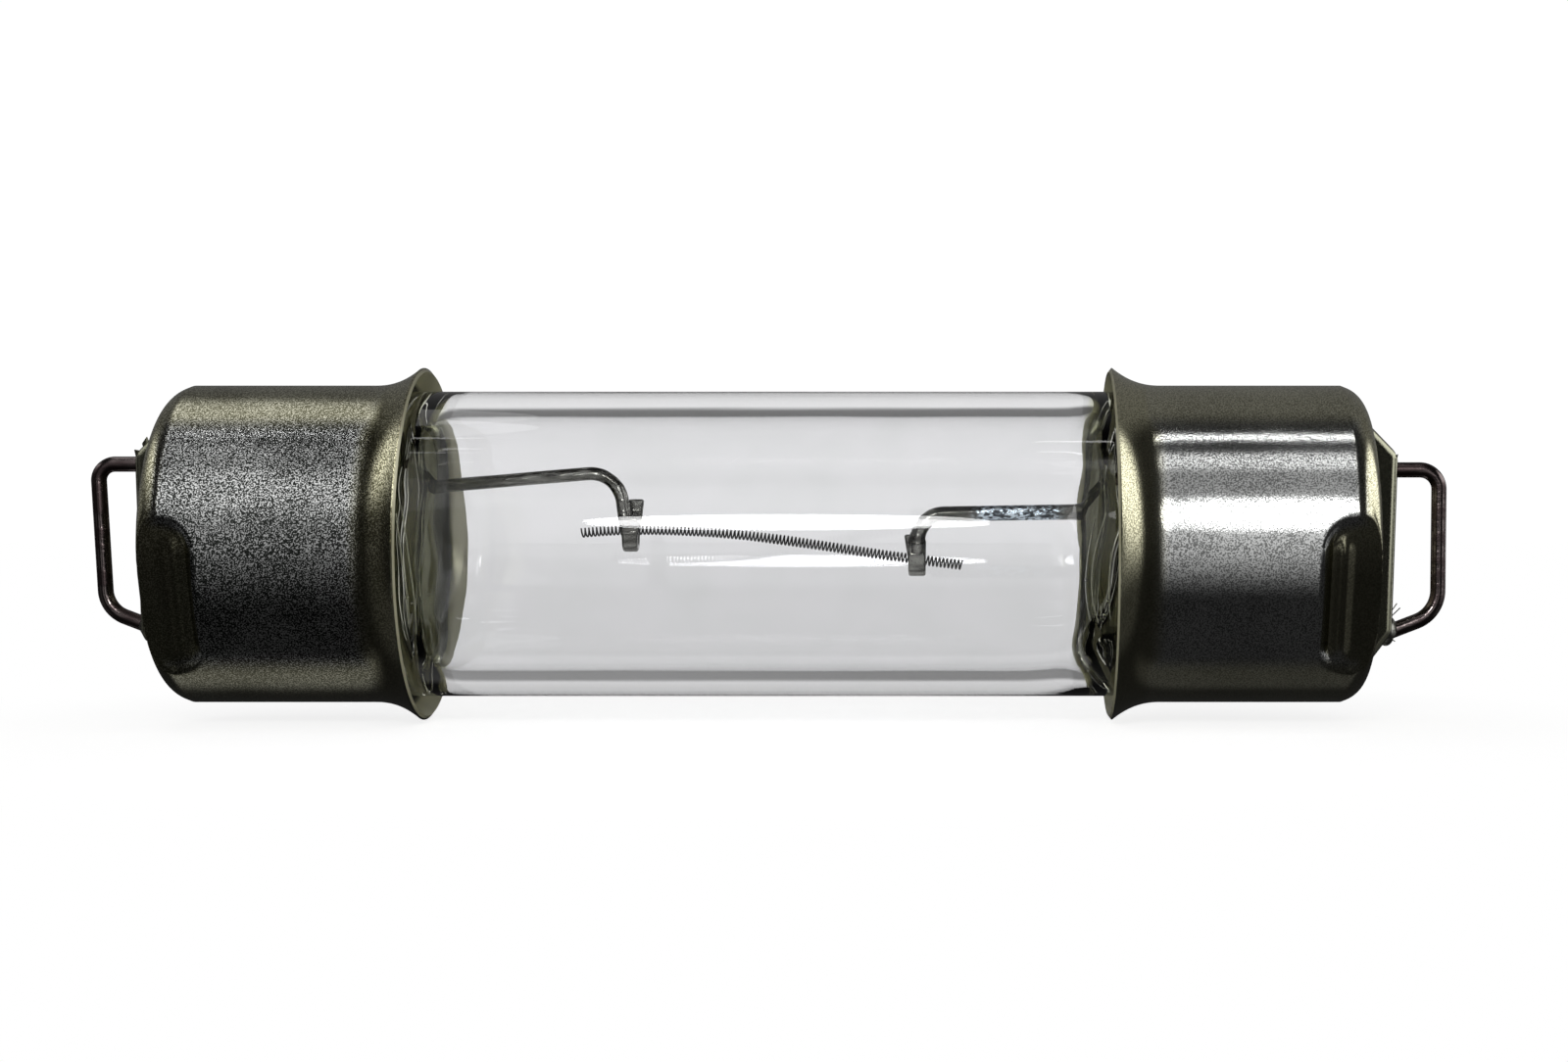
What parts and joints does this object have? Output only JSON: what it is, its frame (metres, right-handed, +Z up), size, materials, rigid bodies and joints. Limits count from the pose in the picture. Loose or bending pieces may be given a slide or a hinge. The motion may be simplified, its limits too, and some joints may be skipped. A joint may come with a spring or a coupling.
{
  "type": "miniature light bulb",
  "caption": "Miniature tubular light bulb: clear glass with a coiled filament on hooked leads, flared and crimped metal end caps, and a rigid wire loop at each end.",
  "frame": {"origin": "middle of the bulb: on its axis, midway between the outer ends of the wire loops", "axes": "+X along the axis to the end with the longer loop tail, +Z up across the flat of both loops, -Y the front seen in the picture"},
  "size_m": [0.0424, 0.011, 0.011],
  "materials": {
    "clear_glass": "clear, slightly grey, polished",
    "tungsten": "dull grey drawn wire",
    "oxidised_wire": "dark brown oxide with worn paler streaks",
    "lead_wire": "bright drawn wire with rough worked marks",
    "plated_cap": "satin plating, finely pitted",
    "cement": "matt",
    "solder": "dull and uneven"
  },
  "bodies": {
    "root": {"glass_envelope": "clear_glass", "filament": "tungsten", "loop_wire_left": "oxidised_wire", "loop_wire_right": "oxidised_wire", "inner_lead_left": "lead_wire", "inner_lead_right": "lead_wire", "end_cap_left": "plated_cap", "end_cap_right": "plated_cap", "basing_cement_left": "cement", "basing_cement_right": "cement", "solder_left": "solder", "solder_right": "solder"}
  },
  "joints": []
}
